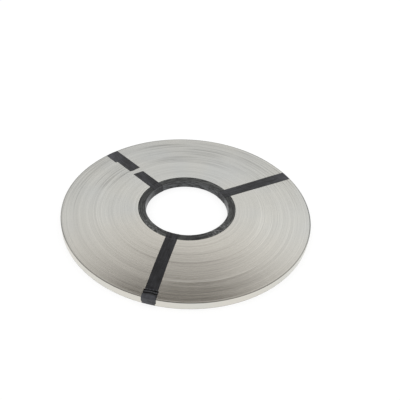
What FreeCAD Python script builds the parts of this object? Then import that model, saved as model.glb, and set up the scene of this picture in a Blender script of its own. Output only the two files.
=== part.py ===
"""Roll of flat nichrome strip, lying on its side.

The strip is wound flat on flat round a core ring, so that the turns make a disc as thick as the strip
is wide. Three lengths of adhesive tape pass through the bore and round the rim and hold the turns
together. The sizes are in millimetres. +Z is up along the roll's axis, and the origin is on that axis
at the level of the ground, which the undersides of the three tapes touch.
"""

import FreeCAD, Part
import Sketcher
import math
import os

# ---------------------------------------------------------------- driving dimensions
DIMENSIONS = [
    ("coil_diameter", 410, "outside of the last turn"),
    ("strip_width", 12, "width of the strip, which is the thickness of the roll"),
    ("strip_edge", 0.4, "rounding of the corners that the turns make at the rim"),
    ("core_diameter", 162, "outside of the core ring"),
    ("core_wall", 13, "radial thickness of the core ring"),
    ("core_edge", 1, "rounding of the core ring's corners"),
    ("core_clearance", 0.1, "radial gap between the core ring and the first turn"),
    ("tape_width", 19, "width of the adhesive tape"),
    ("tape_layer", 0.18, "thickness of one layer of tape"),
    ("right_angle", 28.6, "direction in which the right tape runs outwards, in degrees from +X"),
    ("right_offset", 4.5, "how far its centre line passes from the roll's axis"),
    ("left_angle", 134.3, "direction of the left tape"),
    ("left_offset", 2.9, "how far its centre line passes from the roll's axis"),
    ("front_angle", -101.5, "direction of the front tape"),
    ("front_offset", -5.9, "how far its centre line passes from the roll's axis"),
    ("tail_length", 44, "how far the left tape's inner end reaches outwards from the core ring"),
    ("gap_width", 12, "bare stretch between the left tape's two ends"),
    ("patch_reach", 28.5, "how far the patch over the left tape reaches inwards from the rim"),
    ("patch_offset", 6.4, "how far the patch's centre line passes from the roll's axis"),
    ("lap_reach", 15, "how far the front tape's lapped end reaches inwards from the rim"),
    ("second_layer_foot", 2.5, "height above the ground at which the patch and the lap end on the rim"),
]

doc = FreeCAD.newDocument("nichrome_strip_roll")
sheet = doc.addObject("Spreadsheet::Sheet", "Dims")
for row, (alias, value, meaning) in enumerate(DIMENSIONS, start=1):
    sheet.set(f"A{row}", meaning)
    sheet.set(f"B{row}", str(value))
    sheet.setAlias(f"B{row}", alias)
doc.recompute()

# Expressions that follow from the driving dimensions.
COIL_RADIUS = "Dims.coil_diameter / 2"
CORE_RADIUS = "Dims.core_diameter / 2"
BORE_RADIUS = "Dims.core_diameter / 2 - Dims.core_wall"


# ---------------------------------------------------------------- turned solids
def origin_plane(body, role):
    """The body's own origin plane with that role, such as XZ_Plane."""
    return next(feature for feature in body.Origin.OriginFeatures if feature.Role == role)


def circles_of_radius(shape, radius):
    """Names of the shape's circular edges of that radius."""
    return [
        f"Edge{number}"
        for number, edge in enumerate(shape.Edges, start=1)
        if isinstance(edge.Curve, Part.Circle) and math.isclose(edge.Curve.Radius, radius, abs_tol=1e-6)
    ]


def section_sketch(body, inner_radius, outer_radius, underside, height):
    """A rectangle in the body's XZ plane, to the right of the axis. The sizes are expressions."""
    sketch = body.newObject("Sketcher::SketchObject", f"{body.Name}_section")
    sketch.AttachmentSupport = (origin_plane(body, "XZ_Plane"), [""])
    sketch.MapMode = "FlatFace"

    rough = [FreeCAD.Vector(x, y, 0) for x, y in ((10, 1), (20, 1), (20, 5), (10, 5))]
    for side in range(4):
        sketch.addGeometry(Part.LineSegment(rough[side], rough[(side + 1) % 4]), False)
    for side in range(4):
        sketch.addConstraint(Sketcher.Constraint("Coincident", side, 2, (side + 1) % 4, 1))
    for side, direction in enumerate(("Horizontal", "Vertical", "Horizontal", "Vertical")):
        sketch.addConstraint(Sketcher.Constraint(direction, side))

    # The origin is point 1 of geometry -1. Side 0 is the underside and side 1 the outer wall.
    bound = [
        ("inner_radius", Sketcher.Constraint("DistanceX", -1, 1, 0, 1, 10.0), inner_radius),
        ("outer_radius", Sketcher.Constraint("DistanceX", -1, 1, 0, 2, 20.0), outer_radius),
        ("underside", Sketcher.Constraint("DistanceY", -1, 1, 0, 1, 1.0), underside),
        ("height", Sketcher.Constraint("DistanceY", 1, 1, 1, 2, 4.0), height),
    ]
    for name, constraint, size in bound:
        sketch.renameConstraint(sketch.addConstraint(constraint), name)
        sketch.setExpression(f"Constraints.{name}", size)
    doc.recompute()
    return sketch


def rounded_corners(body, base, name, radius_of_edges, rounding):
    """Round the base's circular edges of one radius."""
    fillet = body.newObject("PartDesign::Fillet", f"{body.Name}_{name}")
    fillet.Base = (base, circles_of_radius(base.Shape, radius_of_edges))
    fillet.setExpression("Radius", rounding)
    doc.recompute()
    return fillet


def turned_ring(name, inner_radius, outer_radius, underside, height, inner_rounding, outer_rounding):
    """A Body: a rectangular section turned about Z, with its corners rounded."""
    body = doc.addObject("PartDesign::Body", name)
    sketch = section_sketch(body, inner_radius, outer_radius, underside, height)
    turned = body.newObject("PartDesign::Revolution", f"{name}_turned")
    turned.Profile = sketch
    turned.ReferenceAxis = (sketch, ["V_Axis"])
    turned.Angle = 360
    doc.recompute()
    inner_value = sketch.getDatum("inner_radius").Value
    outer_value = sketch.getDatum("outer_radius").Value
    bore_rounded = rounded_corners(body, turned, "bore_corners", inner_value, inner_rounding)
    body.Tip = rounded_corners(body, bore_rounded, "rim_corners", outer_value, outer_rounding)
    doc.recompute()
    return body


# The coil and its core stand on the one layer of tape that passes under them.
strip_coil = turned_ring(
    "strip_coil",
    inner_radius=f"{CORE_RADIUS} + Dims.core_clearance",
    outer_radius=COIL_RADIUS,
    underside="Dims.tape_layer",
    height="Dims.strip_width",
    inner_rounding="Dims.strip_edge",
    outer_rounding="Dims.strip_edge",
)
core_ring = turned_ring(
    "core_ring",
    inner_radius=BORE_RADIUS,
    outer_radius=CORE_RADIUS,
    underside="Dims.tape_layer",
    height="Dims.strip_width",
    inner_rounding="Dims.core_edge",
    outer_rounding="Dims.core_edge",
)


# ---------------------------------------------------------------- tape
def wrapped_outline(name, layers):
    """The coil and its core as one solid, with so many layers of tape all over it."""
    wrapping = f"{layers} * Dims.tape_layer"
    return turned_ring(
        name,
        inner_radius=f"{BORE_RADIUS} - {wrapping}",
        outer_radius=f"{COIL_RADIUS} + {wrapping}",
        underside=f"Dims.tape_layer - {wrapping}",
        height=f"Dims.strip_width + 2 * {wrapping}",
        inner_rounding=f"Dims.core_edge + {wrapping}",
        outer_rounding=f"Dims.strip_edge + {wrapping}",
    )


def boolean(kind, name, base, tool):
    """A Part::Cut, Part::Common or Part::Fuse of two objects."""
    result = doc.addObject(f"Part::{kind}", name)
    result.Base = base
    result.Tool = tool
    return result


def slab(name, start, end, bottom, top, offset):
    """A box as wide as the tape, along +X from start to end, with its centre line at that offset."""
    box = doc.addObject("Part::Box", name)
    box.setExpression("Length", f"({end}) - ({start})")
    box.setExpression("Width", "Dims.tape_width")
    box.setExpression("Height", f"({top}) - ({bottom})")
    box.setExpression("Placement.Base.x", start)
    box.setExpression("Placement.Base.y", f"{offset} - Dims.tape_width / 2")
    box.setExpression("Placement.Base.z", bottom)
    return box


bare = wrapped_outline("bare_outline", 0)
wrapped_once = wrapped_outline("outline_wrapped_once", 1)
wrapped_twice = wrapped_outline("outline_wrapped_twice", 2)
first_layer = boolean("Cut", "first_layer", wrapped_once, bare)
second_layer = boolean("Cut", "second_layer", wrapped_twice, wrapped_once)

# Heights and a radius that are clear of the roll and all its tape.
BELOW_ROLL = "-Dims.strip_width"
ABOVE_ROLL = "2 * Dims.strip_width"
BEYOND_RIM = f"{COIL_RADIUS} + Dims.strip_width"
MID_HEIGHT = "Dims.tape_layer + Dims.strip_width / 2"


def closed_loop(name, offset):
    """One turn of tape round the section of the roll, on the +X side of the axis."""
    span = slab(f"{name}_span", "0", BEYOND_RIM, BELOW_ROLL, ABOVE_ROLL, offset)
    return boolean("Common", name, first_layer, span)


def second_layer_over(name, reach, offset):
    """Tape over the first layer, from that far inside the rim outwards, over the rim and down its side."""
    start = f"{COIL_RADIUS} - {reach}"
    span = slab(f"{name}_span", start, BEYOND_RIM, "Dims.second_layer_foot", ABOVE_ROLL, offset)
    return boolean("Common", name, second_layer, span)


def turned_to(tape, angle):
    """Turn the finished piece about the roll's axis to its own direction."""
    tape.Placement.Rotation = FreeCAD.Rotation(FreeCAD.Vector(0, 0, 1), sheet.get(angle))
    tape.setExpression("Placement.Rotation.Angle", f"Dims.{angle} * 1 deg")
    return tape


tape_band_right = turned_to(closed_loop("tape_band_right", "Dims.right_offset"), "right_angle")

# The left tape's two ends stop short of each other on top of the roll.
left_loop = closed_loop("left_loop", "Dims.left_offset")
left_gap = slab(
    "left_gap",
    start=f"{CORE_RADIUS} + Dims.tail_length",
    end=f"{CORE_RADIUS} + Dims.tail_length + Dims.gap_width",
    bottom=MID_HEIGHT,
    top=ABOVE_ROLL,
    offset="Dims.left_offset",
)
tape_band_left = turned_to(boolean("Cut", "tape_band_left", left_loop, left_gap), "left_angle")
tape_patch_left = turned_to(
    second_layer_over("tape_patch_left", "Dims.patch_reach", "Dims.patch_offset"), "left_angle"
)

# The front tape's end laps over its own beginning at the rim.
front_loop = closed_loop("front_loop", "Dims.front_offset")
front_lap = second_layer_over("front_lap", "Dims.lap_reach", "Dims.front_offset")
tape_band_front = turned_to(boolean("Fuse", "tape_band_front", front_loop, front_lap), "front_angle")

doc.recompute()

# ---------------------------------------------------------------- checks and export
PIECES = [strip_coil, core_ring, tape_band_right, tape_band_left, tape_patch_left, tape_band_front]

for thing in doc.Objects:
    if "Invalid" in thing.State or "Error" in thing.State:
        raise RuntimeError(f"{thing.Label} failed: {thing.State}")
for piece in PIECES:
    if piece.Shape.isNull() or not piece.Shape.isValid():
        raise RuntimeError(f"{piece.Label} has no valid shape")
    if len(piece.Shape.Solids) != 1:
        raise RuntimeError(f"{piece.Label} has {len(piece.Shape.Solids)} solids instead of one")

os.makedirs("parts", exist_ok=True)
for piece in PIECES:
    piece.Shape.exportStep(f"parts/{piece.Label}.step")
    box = piece.Shape.optimalBoundingBox()
    print(
        f"{piece.Label}: {piece.Shape.Volume:.1f} mm3,"
        f" x {box.XMin:.2f} to {box.XMax:.2f},"
        f" y {box.YMin:.2f} to {box.YMax:.2f},"
        f" z {box.ZMin:.2f} to {box.ZMax:.2f}"
    )
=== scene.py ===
"""Looks of the roll of nichrome strip: the turns on its faces, the taped core, the binding tapes,
their materials, and a plain studio with the camera. Metres and degrees, in the part's own frame."""

import math

import bpy
import numpy as np
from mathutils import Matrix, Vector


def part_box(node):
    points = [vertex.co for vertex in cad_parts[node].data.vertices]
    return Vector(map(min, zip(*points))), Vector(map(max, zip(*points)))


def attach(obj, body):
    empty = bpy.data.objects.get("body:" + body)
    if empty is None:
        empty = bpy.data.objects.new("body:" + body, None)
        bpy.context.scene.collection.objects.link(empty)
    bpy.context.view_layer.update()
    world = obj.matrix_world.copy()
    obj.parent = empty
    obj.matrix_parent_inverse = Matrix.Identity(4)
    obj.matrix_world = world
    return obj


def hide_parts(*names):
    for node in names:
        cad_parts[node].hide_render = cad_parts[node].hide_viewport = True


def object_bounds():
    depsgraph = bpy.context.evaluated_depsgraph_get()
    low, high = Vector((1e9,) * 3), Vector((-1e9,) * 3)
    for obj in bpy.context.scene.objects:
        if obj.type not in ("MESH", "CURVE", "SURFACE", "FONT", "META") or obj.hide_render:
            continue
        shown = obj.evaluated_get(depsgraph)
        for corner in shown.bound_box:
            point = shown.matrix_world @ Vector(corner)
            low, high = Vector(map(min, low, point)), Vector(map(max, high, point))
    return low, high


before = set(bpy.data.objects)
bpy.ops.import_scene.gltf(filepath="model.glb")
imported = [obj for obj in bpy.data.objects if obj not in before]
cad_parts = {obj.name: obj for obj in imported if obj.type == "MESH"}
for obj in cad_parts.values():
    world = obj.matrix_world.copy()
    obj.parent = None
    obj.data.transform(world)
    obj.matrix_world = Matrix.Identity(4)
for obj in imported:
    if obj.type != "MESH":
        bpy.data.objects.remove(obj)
cad_low, cad_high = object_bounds()

MM = 0.001

# ---------------------------------------------------------------- sizes read from the frame
coil_low, coil_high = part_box("strip_coil")
_, core_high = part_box("core_ring")
UNDERSIDE = coil_low.z
TOP = coil_high.z
COIL_R = coil_high.x
CORE_R = core_high.x
BORE_R = min(math.hypot(v.co.x, v.co.y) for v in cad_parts["core_ring"].data.vertices)
TAPE = coil_low.z - cad_low.z

# ---------------------------------------------------------------- sizes of this file's own
TURN = 1.0 * MM
TURN_GROOVE = 0.04 * MM
# The bottom of a turn's groove and the two ends of its flat edge, as shares of its width.
TURN_POINTS = (0.0, 0.06, 0.94)
COIL_SEGMENTS = 128
CORE_GAP = 0.1 * MM
RIM_EDGE = 0.4 * MM
RIM_WOBBLE = 0.05 * MM

# How far the turns stand below the highest one, and how much of that is lost near the rim.
TURN_DROP = 0.02 * MM
SLOW_DROP = 0.035 * MM
GROUP_DROP = 0.012 * MM
CALM_AT_RIM, CALM_WIDTH = 0.8, 4 * MM
# A few turns stand proud in front, at four fifths of the way out: degrees, then metres.
PROUD_ANGLE, PROUD_SPREAD, PROUD_MIDDLE = -74, 34, 15
PROUD_RADIUS, PROUD_WIDTH, PROUD_RISE = 0.818 * COIL_R, 2.4 * MM, 0.04 * MM

CORE_EDGE = 1.0 * MM
CORE_SEGMENTS = 480
CORE_FOLD_DEPTH = 0.04 * MM
CORE_LINE_DEPTH = 0.07 * MM
CORE_MOST_SUNK = 0.35 * MM
BORE_FLARE = 1.3 * MM

CORNER_STEPS = 6
TAPE_WIDTH = 19 * MM
HALF_TAPE = 9.5 * MM
TAPE_STEP = 0.4 * MM
TAPE_COLUMNS = 16
STREAK_HEIGHT = 0.035 * MM
RING_DIP = 0.22 * MM
FOOT_HEIGHT = 2.5 * MM
UNDER_REACH = 70 * MM
# The folds pressed into the front tape's lapped end: the radius where each starts, and its width.
LAP_FOLDS = ((190.2 * MM, 2.8 * MM), (194.2 * MM, 3.2 * MM))
LAP_FOLD_DEPTH = 0.16 * MM

RIGHT_ANGLE, RIGHT_OFFSET = 28.6, 4.5 * MM
LEFT_ANGLE = 134.3
FRONT_ANGLE, FRONT_OFFSET = -101.5, -5.9 * MM


# ---------------------------------------------------------------- meshes
def wave_noise(seed, *coordinates, waves=7, lowest=1.0, highest=6.0):
    """Smooth seeded noise of about -1 to 1: a sum of sine waves with random directions and phases."""
    random = np.random.default_rng(seed)
    total = 0.0
    for _ in range(waves):
        direction = random.normal(size=len(coordinates))
        direction *= random.uniform(lowest, highest) / np.linalg.norm(direction)
        phase = random.uniform(0, math.tau)
        total = total + np.sin(sum(d * c for d, c in zip(direction, coordinates)) + phase)
    return total / math.sqrt(waves * 2)


def smooth_step(x, start, end):
    t = np.clip((x - start) / (end - start), 0, 1)
    return t * t * (3 - 2 * t)


def hump(x, centre, half_width):
    """1 at the centre, falling smoothly towards 0 a few half widths away."""
    return np.exp(-(((x - centre) / half_width) ** 2))


def mesh_object(name, points, faces, materials, material_of_face=None, sharp_angle=40):
    mesh = bpy.data.meshes.new(name)
    mesh.from_pydata(points.reshape(-1, 3).tolist(), [], faces.tolist())
    for material in materials:
        mesh.materials.append(material)
    if material_of_face is not None:
        mesh.polygons.foreach_set("material_index", material_of_face.astype(np.int32))
    mesh.shade_smooth()
    mesh.set_sharp_from_angle(angle=math.radians(sharp_angle))
    mesh.update()
    thing = bpy.data.objects.new(name, mesh)
    bpy.context.scene.collection.objects.link(thing)
    return thing


def grid_faces(rows, columns, wrap_rows=False, wrap_columns=False):
    """Quads of a grid of rows x columns points, numbered row by row."""
    row = np.arange(rows if wrap_rows else rows - 1)
    column = np.arange(columns if wrap_columns else columns - 1)
    r, c = np.meshgrid(row, column, indexing="ij")
    r2, c2 = (r + 1) % rows, (c + 1) % columns
    quads = np.stack([r * columns + c, r * columns + c2, r2 * columns + c2, r2 * columns + c], axis=-1)
    return quads.reshape(-1, 4)


def revolved(radius, height, angles):
    """Points of a closed section turned about Z. radius and height have one row for each point of it."""
    x = radius * np.cos(angles)
    y = radius * np.sin(angles)
    return np.stack([x, y, height], axis=-1)


def face_relief(radius, angle, seed):
    """How far the turns stand below the highest one, over a face of the coil: slow waves over the
    whole face, each turn's own height, and stretches where a few turns sink or rise together."""
    turn = np.floor(radius / TURN).astype(int)
    heights = np.random.default_rng(seed).uniform(0, 1, 400)
    own = heights[turn % len(heights)]
    slow = wave_noise(seed + 1, radius / (14 * MM), np.cos(angle), np.sin(angle), highest=2.2)
    group = wave_noise(seed + 2, radius / (3.2 * MM), 1.3 * np.cos(angle), 1.3 * np.sin(angle), highest=2.5)
    ends = [math.cos(math.radians(part)) for part in (PROUD_SPREAD, PROUD_MIDDLE)]
    front = smooth_step(np.cos(angle - math.radians(PROUD_ANGLE)), *ends)
    proud = front * hump(radius, PROUD_RADIUS, PROUD_WIDTH)
    drop = TURN_DROP * own + SLOW_DROP * (1 - slow) + GROUP_DROP * (1 - group)
    return drop + PROUD_RISE * (1 - proud)


def make_coil(face_metal, side_metal):
    """The strip's turns: each has a flat edge and a narrow groove beside it."""
    inner = CORE_R + CORE_GAP
    turns = round((COIL_R - inner) / TURN)
    starts = inner + (COIL_R - inner) * np.arange(turns) / turns
    across = np.array(TURN_POINTS) * (COIL_R - inner) / turns
    face_r = (starts[:, None] + across).reshape(-1)
    depth = np.tile([TURN_GROOVE, 0.0, 0.0], turns)
    face_r = np.append(face_r[1:], [COIL_R - RIM_EDGE])
    depth = np.append(depth[1:], [0.0])

    angles = np.arange(COIL_SEGMENTS) * math.tau / COIL_SEGMENTS
    ring_r = np.repeat(face_r[:, None], COIL_SEGMENTS, axis=1)
    ring_a = np.repeat(angles[None, :], len(face_r), axis=0)
    fade = 1 - CALM_AT_RIM * smooth_step(ring_r, COIL_R - CALM_WIDTH, COIL_R)
    upper = TOP - depth[:, None] - fade * face_relief(ring_r, ring_a, seed=11)
    lower = UNDERSIDE + depth[:, None] + fade * face_relief(ring_r, ring_a, seed=31)

    corner = RIM_EDGE * (1 - math.sqrt(0.5))
    rim_r = np.array([COIL_R - corner, COIL_R, COIL_R, COIL_R, COIL_R, COIL_R - corner])
    rim_upper = [TOP - corner, TOP - RIM_EDGE, TOP * 0.7]
    rim_lower = [TOP * 0.3, UNDERSIDE + RIM_EDGE, UNDERSIDE + corner]
    rim_z = np.array(rim_upper + rim_lower)
    wobble = RIM_WOBBLE * (1 + wave_noise(51, 2 * np.cos(angles), 2 * np.sin(angles), highest=3))
    rim_rr = rim_r[:, None] - wobble
    rim_zz = np.repeat(rim_z[:, None], COIL_SEGMENTS, axis=1)
    bore_r = np.full((2, COIL_SEGMENTS), inner)
    bore_z = np.stack([lower[0] + 0 * angles, upper[0] + 0 * angles])

    radius = np.concatenate([ring_r, rim_rr, ring_r[::-1], bore_r])
    height = np.concatenate([upper, rim_zz, lower[::-1], bore_z])
    points = revolved(radius, height, angles)
    rows = len(radius)
    faces = grid_faces(rows, COIL_SEGMENTS, wrap_rows=True, wrap_columns=True)[:, ::-1]
    row_of_face = np.repeat(np.arange(rows), COIL_SEGMENTS)
    first_side = len(face_r)
    on_side = (row_of_face >= first_side) & (row_of_face < first_side + len(rim_r) - 1)
    coil = mesh_object("coil_turns", points, faces, [face_metal, side_metal], on_side, sharp_angle=6)
    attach(coil, "root")
    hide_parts("strip_coil")


def bore_flare(nr, z):
    """How far the bore's wall stands back at a height: the bore widens a little towards its top."""
    return BORE_FLARE * np.clip(-nr, 0, 1) * (z - UNDERSIDE) / (TOP - UNDERSIDE)


def make_core(material):
    """The ring that the strip is wound on, under its own wrapping of black tape."""
    per_corner, per_wall, per_face = 5, 7, 12
    corners = [
        (CORE_R - CORE_EDGE, TOP - CORE_EDGE, 90, 0, CORE_EDGE),
        (CORE_R - CORE_EDGE, UNDERSIDE + CORE_EDGE, 0, -90, CORE_EDGE),
        (BORE_R + CORE_EDGE, UNDERSIDE + CORE_EDGE, -90, -180, CORE_EDGE),
        (BORE_R + CORE_EDGE, TOP - CORE_EDGE, 180, 90, CORE_EDGE),
    ]
    section = []
    for k, (r, z, start, end, rounding) in enumerate(corners):
        for step in range(per_corner):
            a = math.radians(start + (end - start) * step / (per_corner - 1))
            nr, nz = math.cos(a), math.sin(a)
            section.append((r + rounding * nr, z + rounding * nz, nr, nz))
        last = section[-1]
        following = corners[(k + 1) % len(corners)]
        a = math.radians(following[2])
        target = (following[0] + following[4] * math.cos(a), following[1] + following[4] * math.sin(a))
        count = per_wall if k % 2 == 0 else per_face
        for step in range(1, count):
            t = step / count
            there = [last[i] + (target[i] - last[i]) * t for i in (0, 1)]
            section.append((*there, last[2], last[3]))
    section = np.array(section)
    angles = np.arange(CORE_SEGMENTS) * math.tau / CORE_SEGMENTS
    r, z, nr, nz = [np.repeat(column[:, None], CORE_SEGMENTS, axis=1) for column in section.T]
    a = np.repeat(angles[None, :], len(section), axis=0)
    along = a * CORE_R
    # Folds run askew across the ring, edges of the wrapping run round it.
    folds = wave_noise(61, along / (9 * MM), r / (5 * MM), z / (5 * MM), waves=12, highest=5)
    edges = wave_noise(62, r / (1.1 * MM), z / (2.0 * MM), 1.5 * np.cos(a), 1.5 * np.sin(a), highest=2.5)
    crest = 1.2
    sunk = CORE_FOLD_DEPTH * (crest - folds) + CORE_LINE_DEPTH * (crest - edges)
    sunk = np.clip(sunk, 0, CORE_MOST_SUNK)
    sunk = sunk + bore_flare(nr, z)
    points = revolved(r - nr * sunk, z - nz * sunk, angles)
    faces = grid_faces(len(section), CORE_SEGMENTS, wrap_rows=True, wrap_columns=True)[:, ::-1]
    core = mesh_object("core_wrapping", points, faces, [material], sharp_angle=60)
    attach(core, "root")
    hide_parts("core_ring")


# The line that a tape follows round the roll's section, measured from the top of the bore's wall
# outwards: over the top, down the rim, back underneath and up the bore.
def section_line():
    """Points (r, z, normal r, normal z) round the roll's section, and the length at which each lies."""
    line = []
    rounded = [
        (BORE_R, TOP, CORE_EDGE, 180, 90),
        (COIL_R, TOP, RIM_EDGE, 90, 0),
        (COIL_R, UNDERSIDE, RIM_EDGE, 0, -90),
        (BORE_R, UNDERSIDE, CORE_EDGE, -90, -180),
    ]
    for r, z, rounding, start, end in rounded:
        centre_r = r + rounding if r == BORE_R else r - rounding
        centre_z = z - rounding if z == TOP else z + rounding
        for step in range(CORNER_STEPS + 1):
            a = math.radians(start + (end - start) * step / CORNER_STEPS)
            point = (centre_r + rounding * math.cos(a), centre_z + rounding * math.sin(a))
            line.append((*point, math.cos(a), math.sin(a)))
    line.append(line[0])
    line = np.array(line)
    lengths = np.hypot(np.diff(line[:, 0]), np.diff(line[:, 1]))
    return line, np.concatenate([[0], np.cumsum(lengths)])


LINE, LINE_AT = section_line()
ROUND = LINE_AT[-1]


def top_at(radius):
    """Length along the section line at which it passes that radius on the top face."""
    top_first = LINE_AT[CORNER_STEPS]
    return top_first + (radius - BORE_R - CORE_EDGE)


def on_line(length):
    """(r, z, normal r, normal z) at a length along the section line, which closes on itself."""
    at = np.mod(length, ROUND)
    r, z, nr, nz = [np.interp(at, LINE_AT, LINE[:, k]) for k in range(4)]
    return r + bore_flare(nr, z), z, nr, nz


def tape(name, angle, start, end, centre, half_width, lift, material):
    """A length of tape on the section line. start, end, centre, half_width and lift are functions:
    start and end of the place across the tape (-1 to 1), centre and half_width of the length along
    the line, and lift, the height of the outer face over the roll, of both."""
    v = np.linspace(-1, 1, TAPE_COLUMNS)
    first, last = start(v), end(v)
    rows = int((last.mean() - first.mean()) / TAPE_STEP) + 1
    u = np.linspace(0, 1, rows)[:, None]
    length = first * (1 - u) + last * u
    across = v[None, :] + 0 * length
    y = centre(length) + half_width(length, across) * across
    r, z, nr, nz = on_line(length)
    norm = np.hypot(nr, nz)
    nr, nz = nr / norm, nz / norm
    outer = lift(length, across)
    # Underneath, the tape lies flat on the ground.
    outer = np.where(nz < -0.5, np.minimum(outer, TAPE), outer)
    inner = outer - TAPE
    layers = []
    for offset in (outer, inner):
        rr = r + nr * offset
        x = np.sqrt(rr**2 - y**2)
        layers.append(np.stack([x, y, z + nz * offset], axis=-1))
    # The loop round the tape's own section: outer face across, then inner face back.
    ring = np.concatenate([layers[0], layers[1][:, ::-1]], axis=1)
    a = math.radians(angle)
    turn = np.array([[math.cos(a), math.sin(a), 0], [-math.sin(a), math.cos(a), 0], [0, 0, 1]])
    points = ring.reshape(-1, 3) @ turn
    columns = 2 * TAPE_COLUMNS
    faces = grid_faces(rows, columns, wrap_columns=True)
    caps = []
    for row, flip in ((0, False), (rows - 1, True)):
        base = row * columns
        for c in range(TAPE_COLUMNS - 1):
            quad = [base + c, base + columns - 1 - c, base + columns - 2 - c, base + c + 1]
            caps.append(quad[::-1] if flip else quad)
    # Turned round, so that every face looks outwards.
    faces = np.concatenate([faces, np.array(caps)])[:, ::-1]
    thing = mesh_object(name, points, faces, [material], sharp_angle=50)
    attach(thing, "root")
    return thing


def add_tape_coordinates(thing):
    """A UV map in metres: along the tape and across it."""
    layer = thing.data.uv_layers.new(name="tape")
    columns = 2 * TAPE_COLUMNS
    index = np.zeros(len(thing.data.loops), np.int32)
    thing.data.loops.foreach_get("vertex_index", index)
    row, column = index // columns, index % columns
    column = np.minimum(column, columns - 1 - column)
    uv = np.stack([row * TAPE_STEP, column * TAPE_WIDTH / (TAPE_COLUMNS - 1)], axis=-1)
    layer.data.foreach_set("uv", uv.astype(np.float32).reshape(-1))


def streaks(length, across, seed):
    """Low ridges that run along a tape, drawn in where it was stretched."""
    return wave_noise(seed, across * 6, length / (45 * MM), highest=2.5)


def ring_dip(length):
    """Where a tape crosses from the core to the coil it sinks into the groove between them."""
    return RING_DIP * hump(length, top_at(CORE_R - 0.2 * MM), 1.1 * MM)


def make_tapes(material):
    # Lengths along the section line: low on the rim, and some way in underneath.
    foot = top_at(COIL_R - RIM_EDGE) + RIM_EDGE * math.pi / 2 + (TOP - RIM_EDGE - FOOT_HEIGHT)
    under = foot + UNDER_REACH

    def constant(value):
        return lambda v: value + 0 * v

    def single(seed):
        def lift(length, across):
            at = np.mod(length, ROUND)
            return TAPE + STREAK_HEIGHT * streaks(length, across, seed) - ring_dip(at)
        return lift

    # Right: a closed turn, a little wider towards the rim.
    def right_width(length, across):
        at = np.mod(length, ROUND)
        return HALF_TAPE + 0.9 * MM * smooth_step(at, top_at(100 * MM), top_at(175 * MM)) * (at < under)

    def right_lift(length, across):
        at = np.mod(length, ROUND)
        on_ring = hump(at, top_at(CORE_R - 6 * MM), 5 * MM)
        crease = wave_noise(72, at / (1.5 * MM), across * 3, highest=3)
        return single(71)(length, across) + 0.06 * MM * on_ring * crease
    right = tape("tape_right", RIGHT_ANGLE, constant(under), constant(under + ROUND),
                 lambda s: RIGHT_OFFSET + 0 * s, right_width, right_lift, material)
    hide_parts("tape_band_right")

    # Left: from the torn outer end round the section to the tail on top of the inner turns.
    outer_end, tail_end = 136.6 * MM, 125.9 * MM

    def left_start(v):
        torn = 0.3 * MM * wave_noise(81, v * 9, highest=4) - 0.5 * MM * smooth_step(-v, 0.3, 1)
        return top_at(outer_end) + torn + 1.6 * MM * smooth_step(v, 0.5, 1)

    def left_end(v):
        return ROUND + top_at(tail_end) + 1.8 * MM * v

    def left_centre(length):
        return 1.9 * MM + 1.7 * MM * smooth_step(length, foot, ROUND + top_at(BORE_R))

    def left_width(length, across):
        return 10.2 * MM - 0.7 * MM * smooth_step(length, foot, ROUND)
    left = tape("tape_left", LEFT_ANGLE, left_start, left_end, left_centre, left_width, single(82), material)
    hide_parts("tape_band_left")

    # The patch stands out past one edge of the left tape and falls short of the other.
    def patch_start(v):
        return top_at(176.5 * MM) + 0.25 * MM * wave_noise(91, v * 7, highest=3) - 0.5 * MM * v

    def patch_lift(length, across):
        beside = smooth_step(across, 0.55, 0.75)
        return (2 - 0.85 * beside) * TAPE - 0.03 * MM * (1 + streaks(length, across, 92))
    patch = tape("tape_patch", LEFT_ANGLE, patch_start, constant(foot), lambda s: 6.0 * MM + 0 * s,
                 lambda s, v: 9.8 * MM + 0 * s, patch_lift, material)
    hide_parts("tape_patch_left")

    # Front: its end laps over its beginning, from the foot of the rim to a little way in on top.
    def front_start(v):
        return top_at(189.5 * MM) + 0.5 * MM * wave_noise(101, v * 4, highest=3) - 0.5 * MM * v

    def front_centre(length):
        at = np.mod(length, ROUND)
        return FRONT_OFFSET - 0.7 * MM * np.sin(math.pi * smooth_step(at, top_at(BORE_R), top_at(COIL_R)))

    def front_width(length, across):
        lapped = 1 - smooth_step(length, foot - 3 * MM, foot)
        return HALF_TAPE + 1.3 * MM * lapped

    def front_lift(length, across):
        at = np.mod(length, ROUND)
        lapped = 1 - smooth_step(length, foot - 2 * MM, foot)
        askew = at + 0.6 * MM * across + 0.25 * MM * wave_noise(102, across * 3, highest=2)
        folds = 0
        for inner, wide in LAP_FOLDS:
            t = np.clip((askew - top_at(inner)) / wide, 0, 1)
            folds = folds + np.minimum(t / 0.85, (1 - t) / 0.15)
        lift = single(103)(length, across) + TAPE * lapped
        return np.minimum(lift, 2 * TAPE) - LAP_FOLD_DEPTH * folds * lapped
    front = tape("tape_front", FRONT_ANGLE, front_start, constant(ROUND + foot - 0.3 * MM), front_centre,
                 front_width, front_lift, material)
    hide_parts("tape_band_front")
    for thing in (right, left, patch, front):
        add_tape_coordinates(thing)


# ---------------------------------------------------------------- materials
def put(tree, kind, values=None, **settings):
    """A new shader node: settings are its own, values are its inputs, linked where they are sockets."""
    node = tree.nodes.new(kind)
    for name, value in settings.items():
        setattr(node, name, value)
    for name, value in (values or {}).items():
        if isinstance(value, bpy.types.NodeSocket):
            tree.links.new(value, node.inputs[name])
        else:
            node.inputs[name].default_value = value
    return node


def maths(tree, operation, first, second=0.0, clamp=False):
    return put(tree, "ShaderNodeMath", {0: first, 1: second}, operation=operation, use_clamp=clamp).outputs[0]


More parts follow.
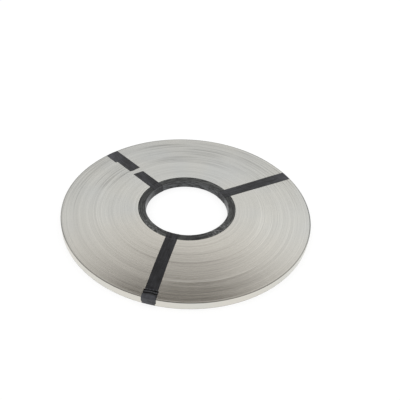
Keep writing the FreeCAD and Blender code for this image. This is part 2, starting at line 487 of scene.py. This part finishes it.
def remap(tree, value, low, high, to_low, to_high, smooth=False):
    kind = "SMOOTHSTEP" if smooth else "LINEAR"
    inputs = {"Value": value, "From Min": low, "From Max": high, "To Min": to_low, "To Max": to_high}
    return put(tree, "ShaderNodeMapRange", inputs, interpolation_type=kind).outputs["Result"]


def noise(tree, vector, scale, detail=2.0, roughness=0.5):
    inputs = {"Vector": vector, "Scale": scale, "Detail": detail, "Roughness": roughness}
    return put(tree, "ShaderNodeTexNoise", inputs).outputs["Fac"]


def mixed(tree, factor, first, second):
    node = put(tree, "ShaderNodeMix", data_type="RGBA")
    for socket, value in ((0, factor), (6, first), (7, second)):
        if isinstance(value, bpy.types.NodeSocket):
            tree.links.new(value, node.inputs[socket])
        else:
            node.inputs[socket].default_value = (*value, 1) if socket else value
    return node.outputs[2]


def new_material(name):
    material = bpy.data.materials.new(name)
    material.use_nodes = True
    material.node_tree.nodes.clear()
    tree = material.node_tree
    shader = put(tree, "ShaderNodeBsdfPrincipled")
    output = put(tree, "ShaderNodeOutputMaterial")
    tree.links.new(shader.outputs[0], output.inputs["Surface"])
    return material, tree, shader


def turned_place(tree):
    """A point, its radius and its unit direction (cos, sin, 0) about the roll's axis."""
    place = put(tree, "ShaderNodeTexCoord").outputs["Object"]
    flat = put(tree, "ShaderNodeVectorMath", {0: place, 1: (1, 1, 0)}, operation="MULTIPLY").outputs[0]
    radius = put(tree, "ShaderNodeVectorMath", {0: flat}, operation="LENGTH").outputs["Value"]
    direction = put(tree, "ShaderNodeVectorMath", {0: flat}, operation="NORMALIZE").outputs[0]
    return place, radius, direction


def ring_vector(tree, radius, direction, around, per_metre):
    """A vector whose noise makes arcs about the axis: coarse round the roll, fine across the turns."""
    part = put(tree, "ShaderNodeVectorMath", {0: direction, "Scale": around}, operation="SCALE").outputs[0]
    rings = maths(tree, "MULTIPLY", radius, per_metre)
    lift = put(tree, "ShaderNodeCombineXYZ", {"Z": rings}).outputs[0]
    return put(tree, "ShaderNodeVectorMath", {0: part, 1: lift}, operation="ADD").outputs[0]


def toward(tree, direction, angle, start, end):
    """1 in that direction from the axis, falling to 0: start and end are cosines."""
    a = math.radians(angle)
    unit = (math.cos(a), math.sin(a), 0)
    dot = put(tree, "ShaderNodeVectorMath", {0: direction, 1: unit}, operation="DOT_PRODUCT").outputs["Value"]
    return remap(tree, dot, start, end, 0, 1, smooth=True)


# Where thin arcs of painted shade (on low turns) and painted highlight (on proud turns) lie: direction,
# spread to each side, inner and outer radius, strength.
PAINTED_SHADE_TURNS = [
    (90, 36, 132 * MM, 190 * MM, 1.0),
    (150, 19, 140 * MM, 166 * MM, 0.9),
    (158, 34, 186 * MM, 206 * MM, 0.6),
    (42, 26, 148 * MM, 202 * MM, 0.8),
    (12, 14, 172 * MM, 190 * MM, 0.3),
    (-95, 26, 166 * MM, 200 * MM, 0.7),
]
PAINTED_HIGHLIGHT_TURNS = [
    (-25, 34, 116 * MM, 152 * MM, 1.0),
    (-75, 26, 150 * MM, 172 * MM, 0.7),
    (185, 28, 120 * MM, 160 * MM, 0.8),
]


def stretches(tree, radius, direction, places):
    """Each stretch's strength in its middle, falling to 0 at its ends. Angles are in degrees."""
    total = 0.0
    for angle, spread, inner, outer, strength in places:
        ends = [math.cos(math.radians(part)) for part in (spread, spread / 3)]
        here = maths(tree, "MULTIPLY", toward(tree, direction, angle, *ends), strength)
        beyond_inner = remap(tree, radius, inner - 6 * MM, inner, 0, 1)
        short_of_outer = remap(tree, radius, outer, outer + 6 * MM, 1, 0)
        here = maths(tree, "MULTIPLY", here, maths(tree, "MULTIPLY", beyond_inner, short_of_outer))
        total = maths(tree, "MAXIMUM", here, total)
    return total


STRIP_PALE = (0.605, 0.598, 0.558)
STRIP_COOL = (0.578, 0.582, 0.562)
STRIP_WARM = (0.622, 0.597, 0.542)
SIDE_WARM = (0.645, 0.62, 0.565)
SIDE_PLAIN = (0.62, 0.615, 0.57)


def face_metal():
    """The slit edges of the strip: bright and satin, each turn a shade of its own."""
    material, tree, shader = new_material("strip_edges")
    _, radius, direction = turned_place(tree)
    turns = noise(tree, ring_vector(tree, radius, direction, 0.5, 900), 1.0, detail=1)
    groups = noise(tree, ring_vector(tree, radius, direction, 1.1, 130), 1.0, detail=3)
    clouds = noise(tree, ring_vector(tree, radius, direction, 1.4, 12), 1.0, detail=2)
    tone = remap(tree, turns, 0.3, 0.7, -0.06, 0.06)
    tone = maths(tree, "ADD", tone, remap(tree, groups, 0.3, 0.7, -0.04, 0.04))
    # Painted shade: thin dark arcs where a turn sits a little low; painted highlight: pale ones where it
    # stands proud.
    arcs = noise(tree, ring_vector(tree, radius, direction, 1.1, 560), 1.0, detail=1)
    low, high = [stretches(tree, radius, direction, places) for places in (PAINTED_SHADE_TURNS, PAINTED_HIGHLIGHT_TURNS)]
    dark = maths(tree, "MULTIPLY", remap(tree, arcs, 0.51, 0.60, 0, 1), low)
    pale = maths(tree, "MULTIPLY", remap(tree, arcs, 0.47, 0.40, 0, 1), high)
    tone = maths(tree, "SUBTRACT", tone, maths(tree, "MULTIPLY", dark, 0.30))
    tone = maths(tree, "ADD", tone, maths(tree, "MULTIPLY", pale, 0.09))
    # Painted shade darkens the last turn's edge, more in some places than others.
    rim_edge_shade = remap(tree, radius, COIL_R - 2.4 * MM, COIL_R - 1.4 * MM, 0, 1)
    rim_edge_shade = maths(tree, "MULTIPLY", rim_edge_shade, remap(tree, clouds, 0.35, 0.6, 0.28, 0.58))
    tone = maths(tree, "SUBTRACT", tone, rim_edge_shade)
    light = mixed(tree, remap(tree, clouds, 0.35, 0.65, 0, 1), STRIP_PALE, STRIP_COOL)
    light = mixed(tree, toward(tree, direction, 268, 0.05, 0.95), light, STRIP_WARM)
    factor = maths(tree, "ADD", tone, 1.0)
    colour = put(tree, "ShaderNodeVectorMath", {0: light, "Scale": factor}, operation="SCALE").outputs[0]
    tree.links.new(colour, shader.inputs["Base Color"])
    shader.inputs["Metallic"].default_value = 1.0
    rough = remap(tree, groups, 0.3, 0.7, 0.13, 0.18)
    tree.links.new(rough, shader.inputs["Roughness"])
    shader.inputs["Anisotropic"].default_value = 0.2
    shader.inputs["Anisotropic Rotation"].default_value = 0.25
    tangent = put(tree, "ShaderNodeTangent", direction_type="RADIAL", axis="Z")
    tree.links.new(tangent.outputs[0], shader.inputs["Tangent"])
    lines = noise(tree, ring_vector(tree, radius, direction, 3.0, 3500), 1.0, detail=2)
    bump = put(tree, "ShaderNodeBump", {"Strength": 0.35, "Distance": 0.006 * MM, "Height": lines})
    tree.links.new(bump.outputs[0], shader.inputs["Normal"])
    return material


def side_metal():
    """The flat side of the last turn: duller than the faces and a little warmer."""
    material, tree, shader = new_material("strip_side")
    place, _, _ = turned_place(tree)
    tint = noise(tree, place, 9.0, detail=2)
    colour = mixed(tree, remap(tree, tint, 0.35, 0.65, 0, 1), SIDE_WARM, SIDE_PLAIN)
    tree.links.new(colour, shader.inputs["Base Color"])
    shader.inputs["Metallic"].default_value = 1.0
    flattened = put(tree, "ShaderNodeVectorMath", {0: place, 1: (6, 6, 900)}, operation="MULTIPLY").outputs[0]
    stripes = noise(tree, flattened, 1.0)
    tree.links.new(remap(tree, stripes, 0.3, 0.7, 0.30, 0.42), shader.inputs["Roughness"])
    return material


# Radii of the folds across the front tape's lapped end, painted dark with shade, and of the ridges beside
# them, painted with highlights.
FOLD_RADII = (190.6 * MM, 195.6 * MM)
RIDGE_RADII = (188.3 * MM, 193.2 * MM)
TAPE_CLEAN = (0.009, 0.009, 0.010)
# Rubbed grey, also the colour of the painted highlights on the front tape.
TAPE_RUBBED_AND_SHEEN = (0.060, 0.061, 0.070)
# Painted shade in the front tape's folds.
TAPE_FOLD_SHADE = (0.003, 0.003, 0.003)
CORE_CLEAN = (0.008, 0.008, 0.008)
CORE_WORN = (0.105, 0.110, 0.104)
# Painted reflection on the bore's wall.
CORE_WALL_SHEEN = (0.130, 0.135, 0.145)
CORE_SCUFFED = (0.16, 0.16, 0.16)


def cross_lines(tree, radius, centres):
    """1 at each of those radii, falling to 0 at 1.2 mm to either side."""
    lines = 0.0
    for centre in centres:
        away = maths(tree, "ABSOLUTE", maths(tree, "SUBTRACT", radius, centre))
        lines = maths(tree, "MAXIMUM", remap(tree, away, 0.4 * MM, 1.2 * MM, 1, 0), lines)
    return lines


def tape_black():
    """Black PVC tape: streaks along its length, dusty grey where it was rubbed, painted shade in the folds of
    the front tape's lapped end, and painted highlights beside them and where that end bends over the rim.
    """
    material, tree, shader = new_material("tape_black")
    along = put(tree, "ShaderNodeUVMap", uv_map="tape").outputs[0]
    drawn_out = put(tree, "ShaderNodeVectorMath", {0: along, 1: (30, 460, 1)}, operation="MULTIPLY")
    lines = noise(tree, drawn_out.outputs[0], 1.0, detail=4, roughness=0.6)
    place, radius, direction = turned_place(tree)
    patches = noise(tree, place, 90, detail=3)
    faded = noise(tree, place, 28, detail=2)
    rubbed = remap(tree, lines, 0.42, 0.66, 0, 1)
    rubbed = maths(tree, "MULTIPLY", rubbed, remap(tree, patches, 0.35, 0.65, 0.1, 1))
    grey = maths(tree, "MULTIPLY", rubbed, 0.9)
    grey = maths(tree, "ADD", grey, remap(tree, faded, 0.45, 0.65, 0, 0.35))
    # The front tape is the cleanest, and the other two are most rubbed near the rim.
    front = toward(tree, direction, FRONT_ANGLE, math.cos(math.radians(20)), math.cos(math.radians(12)))
    at_rim = maths(tree, "SUBTRACT", remap(tree, radius, 170 * MM, 198 * MM, 0, 0.4), front, clamp=True)
    grey = maths(tree, "ADD", grey, at_rim)
    clean = maths(tree, "MULTIPLY", front, remap(tree, radius, 100 * MM, 118 * MM, 0.1, 0.65))
    grey = maths(tree, "MULTIPLY", grey, maths(tree, "SUBTRACT", 1.0, clean))
    # Where its lapped end bends down over the rim, a patchy painted highlight.
    bend_highlight = remap(tree, radius, 197 * MM, 199 * MM, 0, 0.75)
    bend_highlight = maths(tree, "MULTIPLY", bend_highlight, remap(tree, patches, 0.35, 0.6, 0.3, 1))
    grey = maths(tree, "ADD", grey, maths(tree, "MULTIPLY", front, bend_highlight))
    # Across the lapped end run two sharp folds, glossy and painted dark with shade, with painted highlights
    # on the ridges beside them.
    at_front = toward(tree, direction, FRONT_ANGLE, math.cos(math.radians(8)), math.cos(math.radians(5)))
    wavering = maths(tree, "ADD", radius, remap(tree, faded, 0.3, 0.7, -1.6 * MM, 1.6 * MM))
    wavering = maths(tree, "ADD", wavering, remap(tree, patches, 0.3, 0.7, -0.8 * MM, 0.8 * MM))
    folds, ridges = [cross_lines(tree, wavering, at) for at in (FOLD_RADII, RIDGE_RADII)]
    folds = maths(tree, "MULTIPLY", folds, at_front)
    ridges = maths(tree, "MULTIPLY", ridges, at_front)
    ridges = maths(tree, "MULTIPLY", ridges, remap(tree, lines, 0.42, 0.60, 0, 0.8))
    # Painted highlight on the ridges beside the folds.
    grey = maths(tree, "ADD", grey, ridges)
    colour = mixed(tree, grey, TAPE_CLEAN, TAPE_RUBBED_AND_SHEEN)
    # Painted shade in the folds.
    colour = mixed(tree, folds, colour, TAPE_FOLD_SHADE)
    tree.links.new(colour, shader.inputs["Base Color"])
    shader.inputs["Specular IOR Level"].default_value = 0.3
    satin = remap(tree, patches, 0.3, 0.7, 0.2, 0.42)
    satin = maths(tree, "MULTIPLY", satin, remap(tree, folds, 0, 1, 1, 0.3))
    tree.links.new(satin, shader.inputs["Roughness"])
    bump = put(tree, "ShaderNodeBump", {"Strength": 0.6, "Distance": 0.2 * MM, "Height": lines})
    tree.links.new(bump.outputs[0], shader.inputs["Normal"])
    return material


def core_black():
    """The core's black wrapping: edges of tape round it, scuffs at front left and front right, and a painted
    reflection on the bore's wall.
    """
    material, tree, shader = new_material("core_black")
    place, radius, direction = turned_place(tree)
    depth = put(tree, "ShaderNodeSeparateXYZ", {"Vector": place}).outputs["Z"]
    across = maths(tree, "SUBTRACT", radius, depth)
    edges = noise(tree, ring_vector(tree, across, direction, 0.9, 300), 1.0, detail=2)
    smears = noise(tree, ring_vector(tree, across, direction, 6, 480), 1.0, detail=4, roughness=0.6)
    grain = noise(tree, place, 260, detail=4)
    scuffed = toward(tree, direction, 225, 0.93, 1.0)
    scuffed = maths(tree, "MAXIMUM", scuffed, toward(tree, direction, 315, 0.92, 1.0))
    wear = maths(tree, "MULTIPLY", scuffed, remap(tree, grain, 0.48, 0.62, 0, 1))
    grey = remap(tree, edges, 0.42, 0.60, 0.25, 1)
    grey = maths(tree, "MULTIPLY", grey, remap(tree, smears, 0.38, 0.64, 0, 1))
    base = mixed(tree, grey, CORE_CLEAN, CORE_WORN)
    # Painted reflection on the bore's wall: a patchy bluish grey.
    wall = remap(tree, radius, BORE_R + BORE_FLARE, BORE_R + BORE_FLARE + 1.2 * MM, 1, 0)
    wall_reflection = maths(tree, "MULTIPLY", wall, remap(tree, smears, 0.40, 0.60, 0.05, 0.55))
    base = mixed(tree, wall_reflection, base, CORE_WALL_SHEEN)
    colour = mixed(tree, wear, base, CORE_SCUFFED)
    tree.links.new(colour, shader.inputs["Base Color"])
    shader.inputs["Specular IOR Level"].default_value = 0.35
    tree.links.new(remap(tree, smears, 0.3, 0.7, 0.18, 0.42), shader.inputs["Roughness"])
    bump = put(tree, "ShaderNodeBump", {"Strength": 0.6, "Distance": 0.3 * MM, "Height": smears})
    tree.links.new(bump.outputs[0], shader.inputs["Normal"])
    return material


# ---------------------------------------------------------------- studio
SKY_GAP = (0.075, 0.06, 0.045)
SKY_FILL = (0.95, 0.95, 0.95)
FLOOR_GLOW = 1.12
FLOOR_GLOW_SHARE = 0.68


def make_world():
    """White to the camera. The metal mirrors a pale sky, duller near the horizon and on the left, with
    a dark gap high up behind the roll, which shades the front of its face."""
    world = bpy.data.worlds.new("studio")
    bpy.context.scene.world = world
    world.use_nodes = True
    tree = world.node_tree
    tree.nodes.clear()
    direction = put(tree, "ShaderNodeTexCoord").outputs["Generated"]
    height = put(tree, "ShaderNodeSeparateXYZ", {"Vector": direction}).outputs["Z"]
    ahead = put(tree, "ShaderNodeSeparateXYZ", {"Vector": direction}).outputs["Y"]
    aside = put(tree, "ShaderNodeSeparateXYZ", {"Vector": direction}).outputs["X"]
    gap = maths(tree, "MULTIPLY", remap(tree, height, 0.684, 0.774, 0, 1, smooth=True),
                remap(tree, height, 0.97, 0.88, 0, 1, smooth=True))
    off_centre = maths(tree, "ABSOLUTE", aside)
    gap = maths(tree, "MULTIPLY", gap, remap(tree, off_centre, 0.10, 0.20, 1, 0.55))
    gap = maths(tree, "MULTIPLY", gap, remap(tree, ahead, 0.25, 0.45, 0, 1, smooth=True))
    level = remap(tree, height, 0.53, 0.65, 0.76, 1.0, smooth=True)
    level = maths(tree, "MULTIPLY", level, remap(tree, aside, -0.3, 0.3, 0.93, 1.09))
    bright = put(tree, "ShaderNodeCombineXYZ", {"X": level, "Y": level, "Z": level}).outputs[0]
    sky = mixed(tree, gap, bright, SKY_GAP)
    path = put(tree, "ShaderNodeLightPath")
    lit = mixed(tree, path.outputs["Is Glossy Ray"], SKY_FILL, sky)
    seen = mixed(tree, path.outputs["Is Camera Ray"], lit, (1.0, 1.0, 1.0))
    background = put(tree, "ShaderNodeBackground", {"Color": seen, "Strength": 1.0})
    output = put(tree, "ShaderNodeOutputWorld")
    tree.links.new(background.outputs[0], output.inputs["Surface"])


def make_floor():
    """A white floor that keeps a soft shadow of the roll."""
    bpy.ops.mesh.primitive_plane_add(size=6.0, location=(0, 0, cad_low.z))
    floor = bpy.context.object
    floor.name = "floor"
    material = bpy.data.materials.new("floor_white")
    material.use_nodes = True
    tree = material.node_tree
    tree.nodes.clear()
    diffuse = put(tree, "ShaderNodeBsdfDiffuse", {"Color": (0.9, 0.9, 0.9, 1)})
    glow = put(tree, "ShaderNodeEmission", {"Color": (1, 1, 1, 1), "Strength": FLOOR_GLOW})
    path = put(tree, "ShaderNodeLightPath")
    share = remap(tree, path.outputs["Is Camera Ray"], 0, 1, 0, FLOOR_GLOW_SHARE)
    share = maths(tree, "MAXIMUM", share, path.outputs["Is Glossy Ray"])
    both = put(tree, "ShaderNodeMixShader", {0: share, 1: diffuse.outputs[0], 2: glow.outputs[0]})
    output = put(tree, "ShaderNodeOutputMaterial")
    tree.links.new(both.outputs[0], output.inputs["Surface"])
    floor.data.materials.append(material)


def make_camera():
    """In front of the roll and above it, tilted a little to one side."""
    data = bpy.data.cameras.new("camera")
    data.sensor_width = 36
    data.lens = 47.13
    camera = bpy.data.objects.new("camera", data)
    distance, elevation = 4.2924 * COIL_R, math.radians(40.68)
    camera.location = (0, -distance * math.cos(elevation), distance * math.sin(elevation) + UNDERSIDE)
    camera.rotation_euler = [math.radians(a) for a in (50.655, -3.159, 0.813)]
    bpy.context.scene.collection.objects.link(camera)
    bpy.context.scene.camera = camera


make_coil(face_metal(), side_metal())
make_core(core_black())
make_tapes(tape_black())
make_world()
make_floor()
make_camera()
bpy.context.scene.view_settings.view_transform = "Standard"
